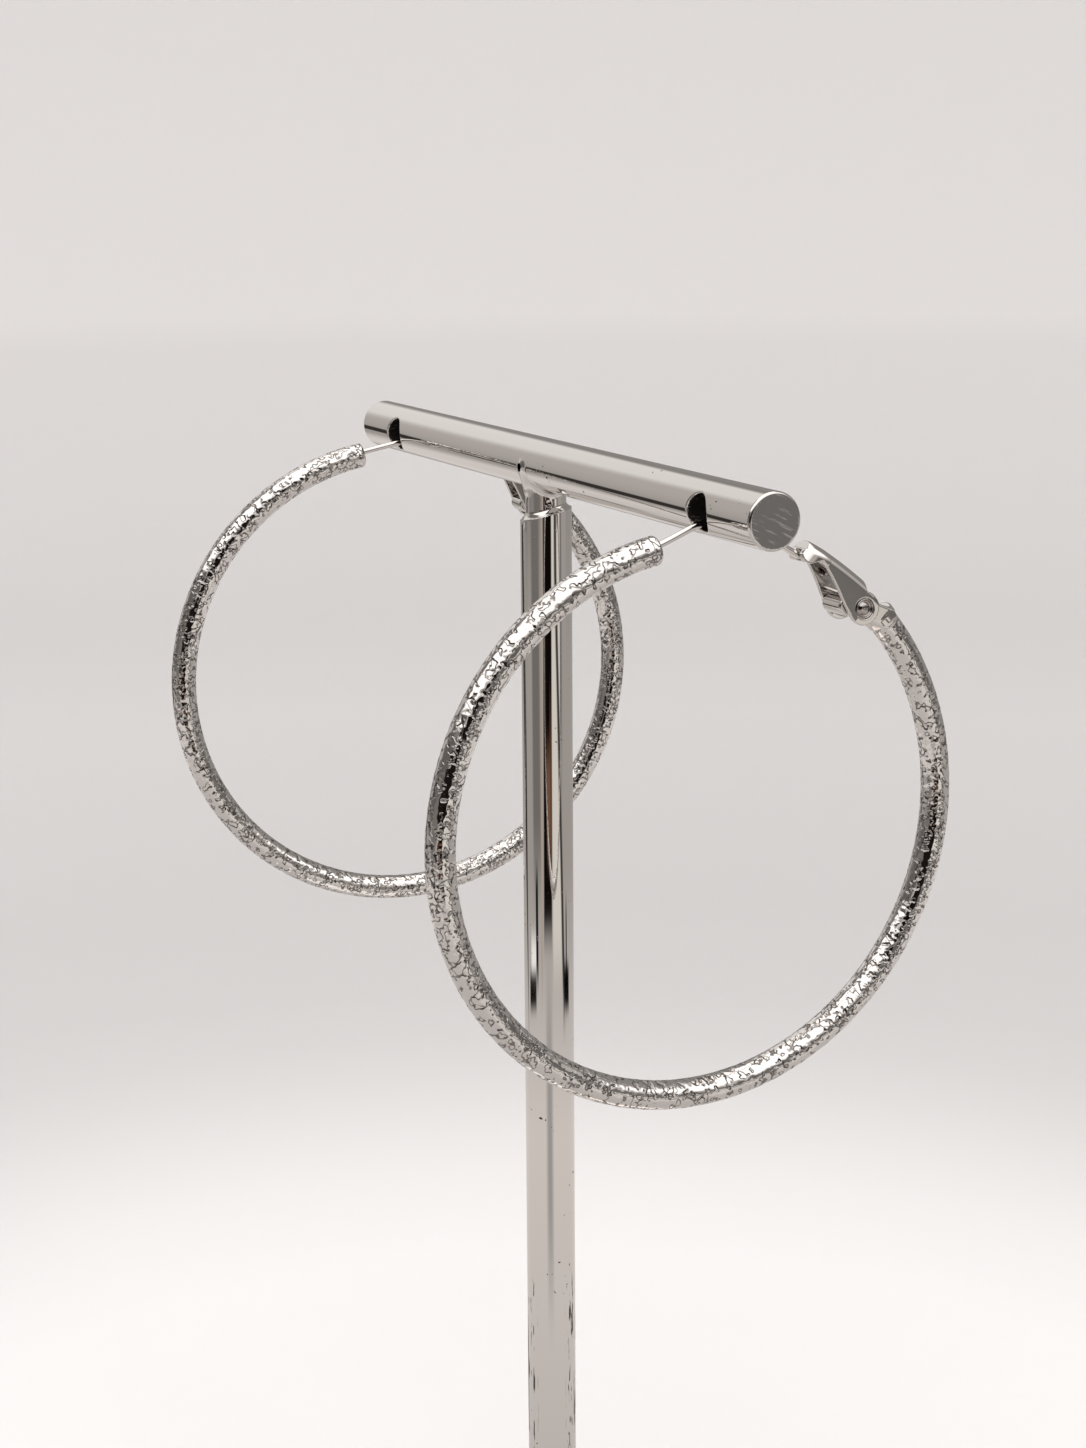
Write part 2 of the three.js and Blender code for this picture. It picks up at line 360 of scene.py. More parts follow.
@dataclass(frozen=True)
class Polished(Finish):
    """Tumbled sheet metal and wire."""

    name: str
    tint: Colour = (0.78, 0.755, 0.735)
    roughness: float = 0.08
    shine: float = 1.0

    def look(self, tree: Tree, place: Value) -> dict:
        """A soft shine with faint tumbling marks."""
        cloud = tree.noise(place, (1.6, 1.6, 1.6), 2)
        hair = tree.noise(place, (0.25, 0.25, 1.4), 2)
        return {
            "Base Color": tree.mix(cloud, tuple(0.92 * c for c in self.tint), self.tint),
            "Metallic": self.shine,
            "Roughness": cloud * 0.06 + (self.roughness - 0.03),
            "Normal": tree.bump(hair, 0.0008),
        }


@dataclass(frozen=True)
class SawnEnd(Finish):
    """The bare, ground end of a rod."""

    name: str
    tint: Colour = (0.24, 0.235, 0.228)
    roughness: float = 0.5
    slant: float = 25.0

    def look(self, tree: Tree, place: Value) -> dict:
        """Dull grey metal with slanting grinding strokes."""
        turned = tree.out(
            "ShaderNodeMapping", None, {"Vector": place, "Rotation": (math.radians(self.slant), 0, 0)}
        )
        stroke = tree.noise(turned, (4, 3.2, 0.35), 3, 0.6)
        shine = stroke.step(0.56, 0.7)
        fine = tree.noise(turned, (1, 1.4, 0.08), 2)
        return {
            "Base Color": tree.mix(shine, self.tint, (0.5, 0.49, 0.48)),
            "Metallic": 0.85,
            "Roughness": self.roughness - shine * 0.15 + fine * 0.1,
            "Normal": tree.bump(stroke * 0.7 + fine * 0.3, 0.04),
        }


@dataclass(frozen=True)
class Paper(Finish):
    """Pale paper with painted light and shade: bright round the stand, darkest about a quarter of a metre out, and
    lighter again towards the wall.
    """

    name: str
    tint: Colour = (0.975, 0.953, 0.946)
    # painted light and shade: distance from the stand in metres, and the paper's brightness there
    painted_light_tones: tuple = (
        (0.0, 0.76), (0.114, 0.758), (0.147, 0.712), (0.194, 0.608), (0.215, 0.574), (0.246, 0.555), (0.314, 0.561),
        (0.523, 0.671), (0.98, 0.766), (1.0, 0.806),
    )

    def look(self, tree: Tree, place: Value) -> dict:
        """A painted fall of light and shade across the floor, by distance from the stand's axis."""
        gone = tree.vector("LENGTH", tree.vector("MULTIPLY", place, (1, 1, 0)), key="Value")
        fibre = tree.noise(place, (3, 3, 3), 3)
        ramp = [(distance, tuple(tone * c for c in self.tint)) for distance, tone in self.painted_light_tones]
        return {
            # the base colour carries the painted fall of light and shade across the floor
            "Base Color": tree.out("ShaderNodeValToRGB", {"stops": ramp}, {"Fac": gone}),
            "Roughness": 0.9,
            "Normal": tree.bump(fibre, 0.02),
        }


@dataclass(frozen=True)
class Bore(Finish):
    """The wall of a drilled hole, painted near-black as the shade inside the hole."""

    name: str
    # painted shade: the near-black colour of the hole's inside
    tint: Colour = (0.03, 0.026, 0.023)

    def look(self, tree: Tree, place: Value) -> dict:
        """Painted shade: near-black metal, with a few brighter tool marks."""
        mark = tree.noise(place, (0.3, 1.2, 0.3), 2).step(0.62, 0.7)
        return {
            "Base Color": tree.mix(mark, self.tint, (0.22, 0.2, 0.18)),
            "Metallic": 0.7,
            "Roughness": 0.4 - mark * 0.15,
            "Normal": tree.bump(mark, 0.02),
        }


CHROME = Chrome("bright_chrome")
SAWN = SawnEnd("ground_rod_end")
BORE_SHADE = Bore("drilled_bore")
STIPPLED = Stippled("stippled_silver")
POLISHED = Polished("polished_clasp")
SATIN = Polished("satin_knuckle", tint=(0.8, 0.775, 0.755), roughness=0.09)
# painted shade: a darker copy of the polished metal, standing in for the shade and dark reflections in the rivet's
# dished heads
MIRROR = Polished("mirror_rivet", tint=(0.5, 0.47, 0.45), roughness=0.05)


# Mesh tools


def solid(name: str, points: np.ndarray, faces: Sequence, finish: Finish, place: Matrix | None = None) -> bpy.types.Object:
    """Makes a smooth-shaded object whose place is in its mesh.

    Args:
        name: the piece's name.
        points: corners, in millimetres.
        faces: corner numbers of each face.
        finish: the finish that it shows.
        place: where it goes, in millimetres.

    Returns:
        The object, at the origin.
    """
    mesh = bpy.data.meshes.new(name)
    mesh.from_pydata(np.asarray(points).tolist(), [], np.asarray(faces).tolist() if isinstance(faces, np.ndarray) else faces)
    mesh.transform(Matrix.Scale(MM, 4) @ (place or Matrix.Identity(4)))
    mesh.shade_smooth()
    mesh.materials.append(finish.material())
    made = bpy.data.objects.new(name, mesh)
    bpy.context.scene.collection.objects.link(made)
    return made


def fit(piece: bpy.types.Object, body: Body, slot: Slot, node: str) -> bpy.types.Object:
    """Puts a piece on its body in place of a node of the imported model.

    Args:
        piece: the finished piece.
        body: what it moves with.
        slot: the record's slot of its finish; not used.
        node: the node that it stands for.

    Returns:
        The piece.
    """
    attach(piece, body.value)
    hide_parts(node)
    log.info("%s: %d faces, on %s", piece.name, len(piece.data.polygons), body.value)
    return piece


CORNERS = np.array([(i, j, k) for i in (0, 1) for j in (0, 1) for k in (0, 1)])
EDGES = [(a, b) for a in range(8) for b in range(a + 1, 8) if abs(CORNERS[a] - CORNERS[b]).sum() == 1]


def slope(shape: Field, points: np.ndarray, reach: float = 1e-3) -> np.ndarray:
    """The gradient of a distance field, by central differences."""
    steps = np.eye(3) * reach
    return np.stack([(shape(points + s) - shape(points - s)) / (2 * reach) for s in steps], -1)


def skin(shape: Field, *axes: np.ndarray) -> tuple[np.ndarray, np.ndarray, np.ndarray]:
    """Wraps the solid where a distance field is negative in a closed skin of quads.

    Args:
        shape: the field, in millimetres.
        axes: the grid's planes along X, Y and Z, which may be unevenly spaced.

    Returns:
        Corners, quads and the corners' normals.
    """
    grid = np.stack(np.meshgrid(*axes, indexing="ij"), -1)
    value = shape(grid.reshape(-1, 3)).reshape(grid.shape[:3])
    inside = value < 0
    votes = sum(inside[tuple(slice(o, o - 1 or None) for o in corner)].astype(np.int8) for corner in CORNERS)
    cells = np.argwhere((votes > 0) & (votes < len(CORNERS)))
    number = np.full(votes.shape, -1)
    number[tuple(cells.T)] = np.arange(len(cells))
    at = tuple((cells[:, None] + CORNERS).transpose(2, 0, 1))
    values = value[at]
    places = grid[at]
    total = np.zeros((len(cells), 3))
    count = np.zeros((len(cells), 1))
    for a, b in EDGES:
        crossed = ((values[:, a] < 0) != (values[:, b] < 0))[:, None]
        gap = values[:, a] - values[:, b]
        share = (values[:, a] / np.where(gap == 0, 1, gap))[:, None]
        total += crossed * (places[:, a] + (places[:, b] - places[:, a]) * share)
        count += crossed
    points = total / count
    quads = []
    for axis in range(3):
        first = np.argwhere(np.diff(inside, axis=axis))
        across = [(axis + 1) % 3, (axis + 2) % 3]
        first = first[(first[:, across] > 0).all(1)]
        around = np.zeros((4, 3), int)
        around[[0, 3], across[0]] = -1
        around[[0, 1], across[1]] = -1
        quad = number[tuple((first[:, None] + around).transpose(2, 0, 1))]
        leaves = inside[tuple(first.T)]
        quads.append(np.where(leaves[:, None], quad, quad[:, ::-1]))
    quads = np.concatenate(quads)
    finest = min(np.diff(axis).min() for axis in axes)
    for _ in range(5):
        grade = slope(shape, points)
        move = shape(points)[:, None] * grade / np.maximum((grade * grade).sum(1, keepdims=True), 0.05)
        points -= np.clip(move, -finest, finest)
    grade = slope(shape, points)
    return points, quads, grade / np.linalg.norm(grade, axis=1, keepdims=True)


def carved(name: str, shape: Field, axes: Sequence[np.ndarray], finish: Finish, place: Matrix | None = None) -> bpy.types.Object:
    """Makes a piece from a distance field, with the field's own normals.

    Args:
        name: the piece's name.
        shape: the field, in millimetres.
        axes: the grid's planes along X, Y and Z.
        finish: the finish that it shows.
        place: where it goes, in millimetres.

    Returns:
        The piece.
    """
    points, quads, normals = skin(shape, *axes)
    made = solid(name, points, quads, finish, place)
    if place is not None:
        normals = normals @ np.array(place.to_3x3()).T
    made.data.normals_split_custom_set_from_vertices(normals.tolist())
    return made


def graded(*stretches: tuple[float, float, float]) -> np.ndarray:
    """Grid planes over stretches, each given by its start, its end and its step."""
    planes = [np.linspace(a, b, max(round((b - a) / step), 1) + 1) for a, b, step in stretches]
    return np.unique(np.round(np.concatenate(planes), 6))


def lathe(profile: Sequence[tuple[float, float]], sides: int) -> tuple[np.ndarray, list]:
    """Turns a profile about the Z axis into a closed body.

    Args:
        profile: radius and height of each place, from the lowest on the axis to the highest on the axis.
        sides: how many steps there are round the axis.

    Returns:
        Corners and faces.
    """
    inner = profile[1:-1]
    angles = np.linspace(0, 2 * np.pi, sides, endpoint=False)
    rings = [[(r * math.cos(a), r * math.sin(a), z) for a in angles] for r, z in inner]
    points = [(0, 0, profile[0][1]), *(p for ring in rings for p in ring), (0, 0, profile[-1][1])]
    last = len(points) - 1
    faces = []
    for i in range(sides):
        j = (i + 1) % sides
        faces.append((0, 1 + j, 1 + i))
        top = 1 + (len(inner) - 1) * sides
        faces.append((last, top + i, top + j))
        for ring in range(len(inner) - 1):
            a = 1 + ring * sides
            faces.append((a + i, a + j, a + sides + j, a + sides + i))
    return np.array(points), faces


def join(first: np.ndarray, second: np.ndarray, soft: float) -> np.ndarray:
    """Union of two fields with a fillet."""
    share = np.clip(0.5 + 0.5 * (second - first) / soft, 0, 1)
    return second * (1 - share) + first * share - soft * share * (1 - share)


def both(first: np.ndarray, second: np.ndarray, soft: float) -> np.ndarray:
    """Intersection of two fields with a rounded edge."""
    return -join(-first, -second, soft)


def polygon(points: np.ndarray, corners: np.ndarray) -> np.ndarray:
    """Signed distance of plane points to a closed outline, negative inside.

    Args:
        points: the points, one to a row.
        corners: the outline's corners in order.

    Returns:
        The distances.
    """
    nearest = np.full(len(points), np.inf)
    inside = np.zeros(len(points), bool)
    for a, b in zip(corners, np.roll(corners, -1, 0)):
        along = b - a
        share = np.clip((points - a) @ along / (along @ along), 0, 1)
        nearest = np.minimum(nearest, np.linalg.norm(points - a - share[:, None] * along, axis=1))
        spans = (a[1] > points[:, 1]) != (b[1] > points[:, 1])
        drop = b[1] - a[1] or 1
        inside ^= spans & (points[:, 0] < along[0] * (points[:, 1] - a[1]) / drop + a[0])
    return np.where(inside, -nearest, nearest)


def heading(degrees: float) -> np.ndarray:
    """Unit vector in a plane."""
    return np.array([math.cos(math.radians(degrees)), math.sin(math.radians(degrees))])


def arc(centre: Sequence[float], radius: float, start: float, end: float, steps: int) -> np.ndarray:
    """Points on an arc, with both ends."""
    return np.array([centre + radius * heading(a) for a in np.linspace(start, end, steps + 1)])


# Stand


@dataclass
class Stand:
    """The T-bar stand: a round foot, and the bar soldered on its post."""

    bar_height: float = 150.0
    bar_length: float = 95.8
    rod_radius: float = 2.9
    rim: float = 0.3
    post_offset: float = -0.9
    neck_radius: float = 2.3
    neck_top: float = 1.9
    neck_length: float = 2.6
    neck_slant: float = 0.25
    solder: float = 0.8
    run_foot: tuple[float, float, float] = (-1.2, -1.95, 147.2)
    run_top: tuple[float, float, float] = (-1.25, -2.72, 149.8)
    run_radius: float = 0.45
    scoop: tuple[float, float, float] = (1.85, -0.95, 145.85)
    scoop_radius: float = 0.6
    hole_inset: float = 9.95
    hole_radius: float = 1.85
    hole_drop: float = 0.25
    hole_rim: float = 0.3
    foot_radius: float = 35.0
    foot_height: float = 6.0
    foot_edge: float = 1.2
    spigot_radius: float = 2.0
    spigot_length: float = 3.5

    @property
    def hole_spread(self) -> float:
        """Distance between the axes of the two cross-holes."""
        return self.bar_length - 2 * self.hole_inset

    def tee(self, points: np.ndarray) -> np.ndarray:
        """Distance field of the bar and the post.

        Args:
            points: places, in millimetres.

        Returns:
            The signed distances.
        """
        x, y, z = points.T
        up = z - self.bar_height
        round_ = np.hypot(y, up) - self.rod_radius + self.rim
        ends = abs(x) - self.bar_length / 2 + self.rim
        bar = np.minimum(np.maximum(round_, ends), 0) + np.hypot(np.maximum(round_, 0), np.maximum(ends, 0)) - self.rim
        out = np.hypot(x - self.post_offset, y)
        under = self.bar_height - self.rod_radius
        low = under - self.neck_length
        waist = under - self.neck_top
        slant = self.neck_slant * ((x - self.post_offset) * 0.44 + y * 0.898)
        share = np.clip((z - slant - low) / (waist - low), 0, 1)
        narrow = self.rod_radius - self.neck_radius
        radius = self.rod_radius - narrow * np.sin(share * np.pi / 2) ** 0.8
        post = both(out - radius, self.foot_height - z, 0.3)
        post = both(post, z - self.bar_height + 0.7, 0.3)
        spigot = np.maximum(out - self.spigot_radius, abs(z - self.foot_height) - self.spigot_length)
        body = join(bar, post, self.solder)
        foot = np.array(self.run_foot)
        rise = np.array(self.run_top) - foot
        share = np.clip((points - foot) @ rise / (rise @ rise), 0, 1)
        run = np.linalg.norm(points - foot - share[:, None] * rise, axis=1) - self.run_radius
        body = join(body, run, self.solder)
        scoop = self.scoop_radius - np.linalg.norm(points - np.array(self.scoop), axis=1)
        body = np.minimum(both(body, scoop, 0.2), spigot)
        for side in (-1, 1):
            hole = np.hypot(x - side * self.hole_spread / 2, up + self.hole_drop) - self.hole_radius
            body = both(body, -hole, self.hole_rim)
        return body

    def make_tee(self) -> bpy.types.Object:
        """Makes the bar and post, with ground metal on the bar's ends and painted shade inside the cross-holes."""
        half = self.bar_length / 2
        hole = self.hole_spread / 2
        reach = self.hole_radius + 0.5
        centre = self.post_offset
        xs = graded(
            (-half - 0.12, -half + 0.36, 0.04), (-half + 0.36, -hole - reach, 0.7), (-hole - reach, -hole + reach, 0.1),
            (-hole + reach, centre - 4.6, 1.5), (centre - 4.6, centre + 4.6, 0.12), (centre + 4.6, hole - reach, 1.5),
            (hole - reach, hole + reach, 0.1), (hole + reach, half - 0.36, 0.7), (half - 0.36, half + 0.12, 0.04),
        )
        wide = self.rod_radius + 0.25
        ys = graded((-wide, wide, 0.105))
        foot = self.foot_height
        spigot_end = foot - self.spigot_length
        neck = self.bar_height - self.rod_radius - self.neck_length - 0.6
        zs = graded(
            (spigot_end - 0.1, spigot_end + 0.1, 0.1), (spigot_end + 0.1, foot - 0.3, 1), (foot - 0.3, foot + 0.4, 0.1),
            (foot + 0.4, neck, 2.5), (neck, self.bar_height + wide, 0.105),
        )
        made = carved("stand_tee_bar", self.tee, (xs, ys, zs), CHROME)
        made.data.materials.append(SAWN.material())
        made.data.materials.append(BORE_SHADE.material())
        for facet in made.data.polygons:
            x, y, z = facet.center / MM
            if abs(x) > half - 0.03 and math.hypot(y, z - self.bar_height) < self.rod_radius - self.rim:
                facet.material_index = 1
            # faces inside the cross-holes take the bore's painted shade
            elif math.hypot(abs(x) - hole, z - self.bar_height + self.hole_drop) < self.hole_radius + 0.03:
                facet.material_index = 2
        return fit(made, Body.STAND, Slot.STAND, "stand_tee")

    def make_foot(self) -> bpy.types.Object:
        """Makes the round foot."""
        edge = self.foot_edge
        rim = [
            (self.foot_radius - edge + edge * math.cos(a), self.foot_height - edge + edge * math.sin(a))
            for a in np.linspace(0, math.pi / 2, 13)
        ]
        socket = self.spigot_radius + 0.3
        depth = self.foot_height - self.spigot_length - 0.3
        sole = self.foot_radius - 0.3
        profile = [
            (0, 0), (sole * 0.5, 0), (sole - 0.05, 0), (sole, 0), (self.foot_radius - 0.1, 0.06),
            (self.foot_radius, 0.3), *rim,
            (self.foot_radius - edge - 0.1, self.foot_height), (self.foot_radius * 0.5, self.foot_height),
            (socket + 0.05, self.foot_height), (socket, self.foot_height - 0.05), (socket, depth + 0.05),
            (socket - 0.05, depth), (0, depth),
        ]
        points, faces = lathe(profile, 160)
        place = Matrix.Translation((self.post_offset, 0, 0))
        return fit(solid("stand_foot", points, faces, CHROME, place), Body.STAND, Slot.STAND, "stand_base")


# Earrings


@dataclass
class SweptMetal:
    """A round wire or tube along a path, with stippled dents if it has any."""

    radius: float
    sides: int
    dent_depth: float = 0.0
    dent_size: float = 0.5
    seed: float = 0.0

    def tree(self, finish: Finish) -> bpy.types.NodeTree:
        """Builds the Geometry Nodes tree once.

        Args:
            finish: meant as the default finish; not used.

        Returns:
            The tree.
        """
        made = bpy.data.node_groups.get("swept_metal")
        if made is not None:
            return made
        made = bpy.data.node_groups.new("swept_metal", "GeometryNodeTree")
        sockets = {
            "Path": "NodeSocketGeometry", "Radius": "NodeSocketFloat", "Sides": "NodeSocketInt",
            "Dent Depth": "NodeSocketFloat", "Dent Size": "NodeSocketFloat", "Seed": "NodeSocketFloat",
            "Finish": "NodeSocketMaterial",
        }
        for name, kind in sockets.items():
            made.interface.new_socket(name=name, in_out="INPUT", socket_type=kind)
        made.interface.new_socket(name="Metal", in_out="OUTPUT", socket_type="NodeSocketGeometry")
        tree = Tree(made)
        entry = tree.node("NodeGroupInput")
        given = {name: Value(tree, entry.outputs[name]) for name in sockets}
        girth = tree.out("GeometryNodeInputNamedAttribute", {"data_type": "FLOAT"}, {"Name": "girth"}, "Attribute")
        plain = tree.out("GeometryNodeInputNamedAttribute", {"data_type": "FLOAT"}, {"Name": "plain"}, "Attribute")
        path = tree.out("GeometryNodeMeshToCurve", None, {"Mesh": given["Path"]})
        profile = tree.out(
            "GeometryNodeCurvePrimitiveCircle", {"mode": "RADIUS"},
            {"Resolution": given["Sides"], "Radius": given["Radius"]},
        )
        swept = tree.out(
            "GeometryNodeCurveToMesh", None,
            {"Curve": path, "Profile Curve": profile, "Scale": girth, "Fill Caps": True},
        )
        place = tree.out("GeometryNodeInputPosition")
        moved = tree.vector("ADD", place, self._triple(tree, given["Seed"]))
        warp = tree.out("ShaderNodeTexNoise", None, {"Vector": moved, "Scale": 1.7, "Detail": 1.0}, "Color")
        bent = tree.vector("ADD", moved, tree.vector("MULTIPLY", warp, (0.45, 0.45, 0.45)))
        rate = 1 / given["Dent Size"]
        cells = tree.node("ShaderNodeTexVoronoi", {"feature": "F1"}, {"Vector": bent, "Scale": rate})
        deep = Value(tree, cells.outputs["Distance"])
        chance = tree.out("ShaderNodeSeparateXYZ", None, {"Vector": Value(tree, cells.outputs["Color"])})
        small = tree.out(
            "ShaderNodeTexVoronoi", {"feature": "F1"}, {"Vector": moved, "Scale": rate * 1.75}, "Distance"
        )
        rough = tree.out("ShaderNodeTexNoise", None, {"Vector": bent, "Scale": rate * 1.3, "Detail": 2.0})
        pit = (1 - deep.step(0.1, 0.55)) * (chance * 0.8 + 0.3)
        nick = 1 - small.step(0.08, 0.5)
        relief = (rough - 0.5) * 0.9 - pit * 0.75 - nick * 0.35
        height = relief * given["Dent Depth"] * (1 - plain)
        normal = tree.out("GeometryNodeInputNormal")
        offset = tree.out(
            "ShaderNodeVectorMath", {"operation": "SCALE"}, {"Vector": normal, "Scale": height}, "Vector"
        )
        dented = tree.out("GeometryNodeSetPosition", None, {"Geometry": swept, "Offset": offset})
        smooth = tree.out("GeometryNodeSetShadeSmooth", None, {"Geometry": dented, "Shade Smooth": True})
        real = tree.out("GeometryNodeRealizeInstances", None, {"Geometry": smooth})
        dressed = tree.out("GeometryNodeSetMaterial", None, {"Geometry": real, "Material": given["Finish"]})
        tree.node("NodeGroupOutput", None, {"Metal": dressed})
        return made

    @staticmethod
    def _triple(tree: Tree, value: Value) -> Value:
        """A vector with the same value three times."""
        return tree.out("ShaderNodeCombineXYZ", None, {"X": value, "Y": value, "Z": value})

    def make(self, name: str, path: np.ndarray, girth: np.ndarray, plain: np.ndarray, finish: Finish, place: Matrix) -> bpy.types.Object:
        """Sweeps the metal along a path.

        Args:
            name: the piece's name.
            path: places in the hoop's plane, in millimetres.
            girth: thickness at each place, as a share of the radius.
            plain: share of the dents that is left out at each place.
            finish: the finish that it shows.
            place: where the hoop's plane is, in millimetres.

        Returns:
            The piece.
        """
        line = bpy.data.meshes.new(name)
        count = len(path)
        line.from_pydata([(x, y, 0) for x, y in path], [(i, i + 1) for i in range(count - 1)], [])
        for attribute, values in (("girth", girth), ("plain", plain)):
            line.attributes.new(attribute, "FLOAT", "POINT").data.foreach_set("value", values.astype(np.float32))
        host = bpy.data.objects.new(name, line)
        bpy.context.scene.collection.objects.link(host)
        group = self.tree(finish)
        modifier = host.modifiers.new("sweep", "NODES")
        modifier.node_group = group
        values = {
            "Radius": self.radius, "Sides": self.sides, "Dent Depth": self.dent_depth, "Dent Size": self.dent_size,
            "Seed": self.seed, "Finish": finish.material(),
        }
        for item in group.interface.items_tree:
            if item.in_out == "INPUT" and item.name in values:
                modifier[item.identifier] = values[item.name]
        evaluated = host.evaluated_get(bpy.context.evaluated_depsgraph_get())
        mesh = bpy.data.meshes.new_from_object(evaluated)
        host.modifiers.clear()
        host.data = mesh
        bpy.data.meshes.remove(line)
        mesh.name = name
        for attribute in ("girth", "plain"):
            if attribute in mesh.attributes:
                mesh.attributes.remove(mesh.attributes[attribute])
        mesh.transform(Matrix.Scale(MM, 4) @ place)
        return host


@dataclass
class Lever:
    """The folded sheet lever of a clasp, from its rivet axis: x to the tip, y outwards, z across."""

    length: float = 9.0
    width: float = 4.8
    waist_width: float = 4.0
    tip_width: float = 1.8
    tip_round: float = 2.8
    cheek_radius: float = 1.75
    cheek_waist: tuple = ((1.09, -0.71), (2.4, -0.17))
    web_start: float = 0.95
    sheet: float = 0.5
    fold_radius: float = 1.1
    web_rise: float = 2.3
    web_tip_rise: float = 1.25
    web_crown: float = 0.2
    cheek_clearance: float = 0.5
    hem_length: float = 2.0
    lip_depth: float = 0.75
    notch_width: float = 1.05
    notch_length: float = 1.3
    notch_roof: float = 0.12
    eye_radius: float = 1.08
    edge: float = 0.13
    chart_step: float = 0.02
    charted: list = field(default_factory=list)

    def top(self, s: np.ndarray) -> np.ndarray:
        """Height of the web's outside above the rivet axis."""
        share = s / self.length
        return self.web_rise + (self.web_tip_rise - self.web_rise) * share + self.web_crown * 4 * share * (1 - share)

    def half_width(self, s: np.ndarray) -> np.ndarray:
        """Half the lever's width."""
        shoulder = self.length - self.tip_round
        straight = self.width + (self.waist_width - self.width) * np.clip(s / shoulder, 0, 1)
        share = np.clip((s - shoulder) / self.tip_round, 0, 0.999)
        nose = self.tip_width + (self.waist_width - self.tip_width) * np.sqrt(1 - share * share)
        return np.where(s < shoulder, straight, nose) / 2

    def outline(self) -> np.ndarray:
        """Side view of a cheek, as corners."""
        hem = self.length - self.hem_length
        waist = np.array(self.cheek_waist) * self.cheek_radius
        brow = self.cheek_radius * self.web_start
        above = self.web_rise * 2
        reach = arc((0, 0), self.cheek_radius, 58, 300, 40)
        lower = np.array([reach[-1], *waist, (hem, self.cheek_clearance)])
        nose = arc((self.length - self.lip_depth, 0), self.lip_depth, 235, 390, 14)
        web_end = (brow, float(self.top(np.array(brow))))
        upper = [(self.length, above), (brow + self.sheet, above), web_end]
        return np.array([*reach, *self.eased(lower)[1:], *nose, *upper])

    @staticmethod
    def eased(points: np.ndarray) -> np.ndarray:
        """Cuts the corners of an open line three times, which rounds it."""
        for _ in range(3):
            a, b = points[:-1], points[1:]
            middle = np.stack([a * 0.75 + b * 0.25, a * 0.25 + b * 0.75], 1).reshape(-1, 2)
            points = np.vstack([points[:1], middle[1:-1], points[-1:]])
        return points

    def shape(self, points: np.ndarray) -> np.ndarray:
        """Distance field of the lever."""
        s, y, z = points.T
        side = abs(z) - self.half_width(s) + self.fold_radius
        rise = y - self.top(s) + self.fold_radius
        outside = np.minimum(np.maximum(side, rise), 0) + np.hypot(np.maximum(side, 0), np.maximum(rise, 0))
        outside -= self.fold_radius
        inside = np.maximum(outside + self.sheet, s - (self.length - self.hem_length))
        cheeks = self.cheek(points[:, :2])
        body = both(outside, cheeks, self.edge)
        body = both(body, -inside, self.edge)
        body = both(body, self.eye_radius - np.hypot(s, y), self.edge)
        notch = both(abs(z) - self.notch_width / 2, self.length - self.notch_length - s, self.notch_width)
        return both(body, -both(notch, y - self.notch_roof, self.edge), self.edge)

    def chart(self) -> tuple[np.ndarray, np.ndarray]:
        """Distances of the cheek's outline on a fine grid, made once.

        Returns:
            The grid's lowest corner and the distances.
        """
        if not self.charted:
            low = np.array([-self.cheek_radius - 0.5, -self.cheek_radius - 0.5])
            high = np.array([self.length + 0.5, self.web_rise + 1.4])
            planes = [np.arange(a, b, self.chart_step) for a, b in zip(low, high)]
            grid = np.stack(np.meshgrid(*planes, indexing="ij"), -1)
            distance = polygon(grid.reshape(-1, 2), self.outline()).reshape(grid.shape[:2])
            self.charted.extend((low, distance))
        return self.charted[0], self.charted[1]

    def cheek(self, points: np.ndarray) -> np.ndarray:
        """Distance to the cheek's outline, read from the chart."""
        low, distance = self.chart()
        place = (points - low) / self.chart_step
        limit = np.array(distance.shape) - 2
        cell = np.clip(np.floor(place).astype(int), 0, limit)
        share = place - cell
        i, j = cell.T
        a, b = share.T
        left = distance[i, j] * (1 - b) + distance[i, j + 1] * b
        right = distance[i + 1, j] * (1 - b) + distance[i + 1, j + 1] * b
        return left * (1 - a) + right * a

    def make(self, name: str, place: Matrix) -> bpy.types.Object:
        """Makes the lever at its place."""
        step = 0.065
        low = -self.cheek_radius - 0.2
        axes = (
            graded((low, self.length + 0.2, step)),
            graded((low, self.web_rise + 1.0, step)),
            graded((-self.width / 2 - 0.13, self.width / 2 + 0.13, step)),
        )
        return carved(name, self.shape, axes, POLISHED, place)


